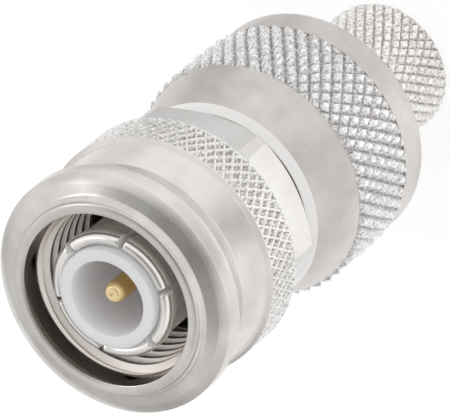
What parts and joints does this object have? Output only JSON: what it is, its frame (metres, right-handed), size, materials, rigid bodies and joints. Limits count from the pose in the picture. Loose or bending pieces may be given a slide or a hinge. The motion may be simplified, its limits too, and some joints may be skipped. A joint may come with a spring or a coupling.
{
  "type": "tnc connector",
  "caption": "Straight coaxial plug with a knurled threaded coupling nut, slotted spring contact, wrench collar, knurled shell and crimp stem.",
  "frame": {"origin": "middle of the crimp stem's end face, on which the part stands", "axes": "+Z along the connector's axis, from the cable end towards the mating face; -Y is the side that faces the picture's camera"},
  "size_m": [0.0156, 0.0156, 0.0341],
  "materials": {
    "nut_plating": "satin turned brass, white bronze plated",
    "body_plating": "satin turned brass, white bronze plated",
    "contact_plating": "bright spring bronze, white bronze plated",
    "pin_gold": "gold plated",
    "spring_bronze": "bare phosphor bronze",
    "ptfe": "smooth white PTFE",
    "seal_rubber": "black silicone rubber"
  },
  "bodies": {
    "connector_body": {"front_body": "body_plating", "rear_shell": "body_plating", "crimp_stem": "body_plating", "shell_seal": "seal_rubber", "outer_contact": "contact_plating", "front_insulator": "ptfe", "rear_insulator": "ptfe", "insulator_bushing": "body_plating", "centre_pin": "pin_gold", "front_gasket": "seal_rubber"},
    "nut_ring": {"snap_ring": "spring_bronze"},
    "nut": {"coupling_nut": "nut_plating"}
  },
  "joints": [
    {"name": "nut_play", "type": "slide", "parent": "connector_body", "child": "nut_ring", "axis": [0, 0, 1], "range_m": [0, 0.0002]},
    {"name": "nut_spin", "type": "hinge", "parent": "nut_ring", "child": "nut", "pos_m": [0, 0, 0.0259], "axis": [0, 0, 1], "continuous": true}
  ]
}
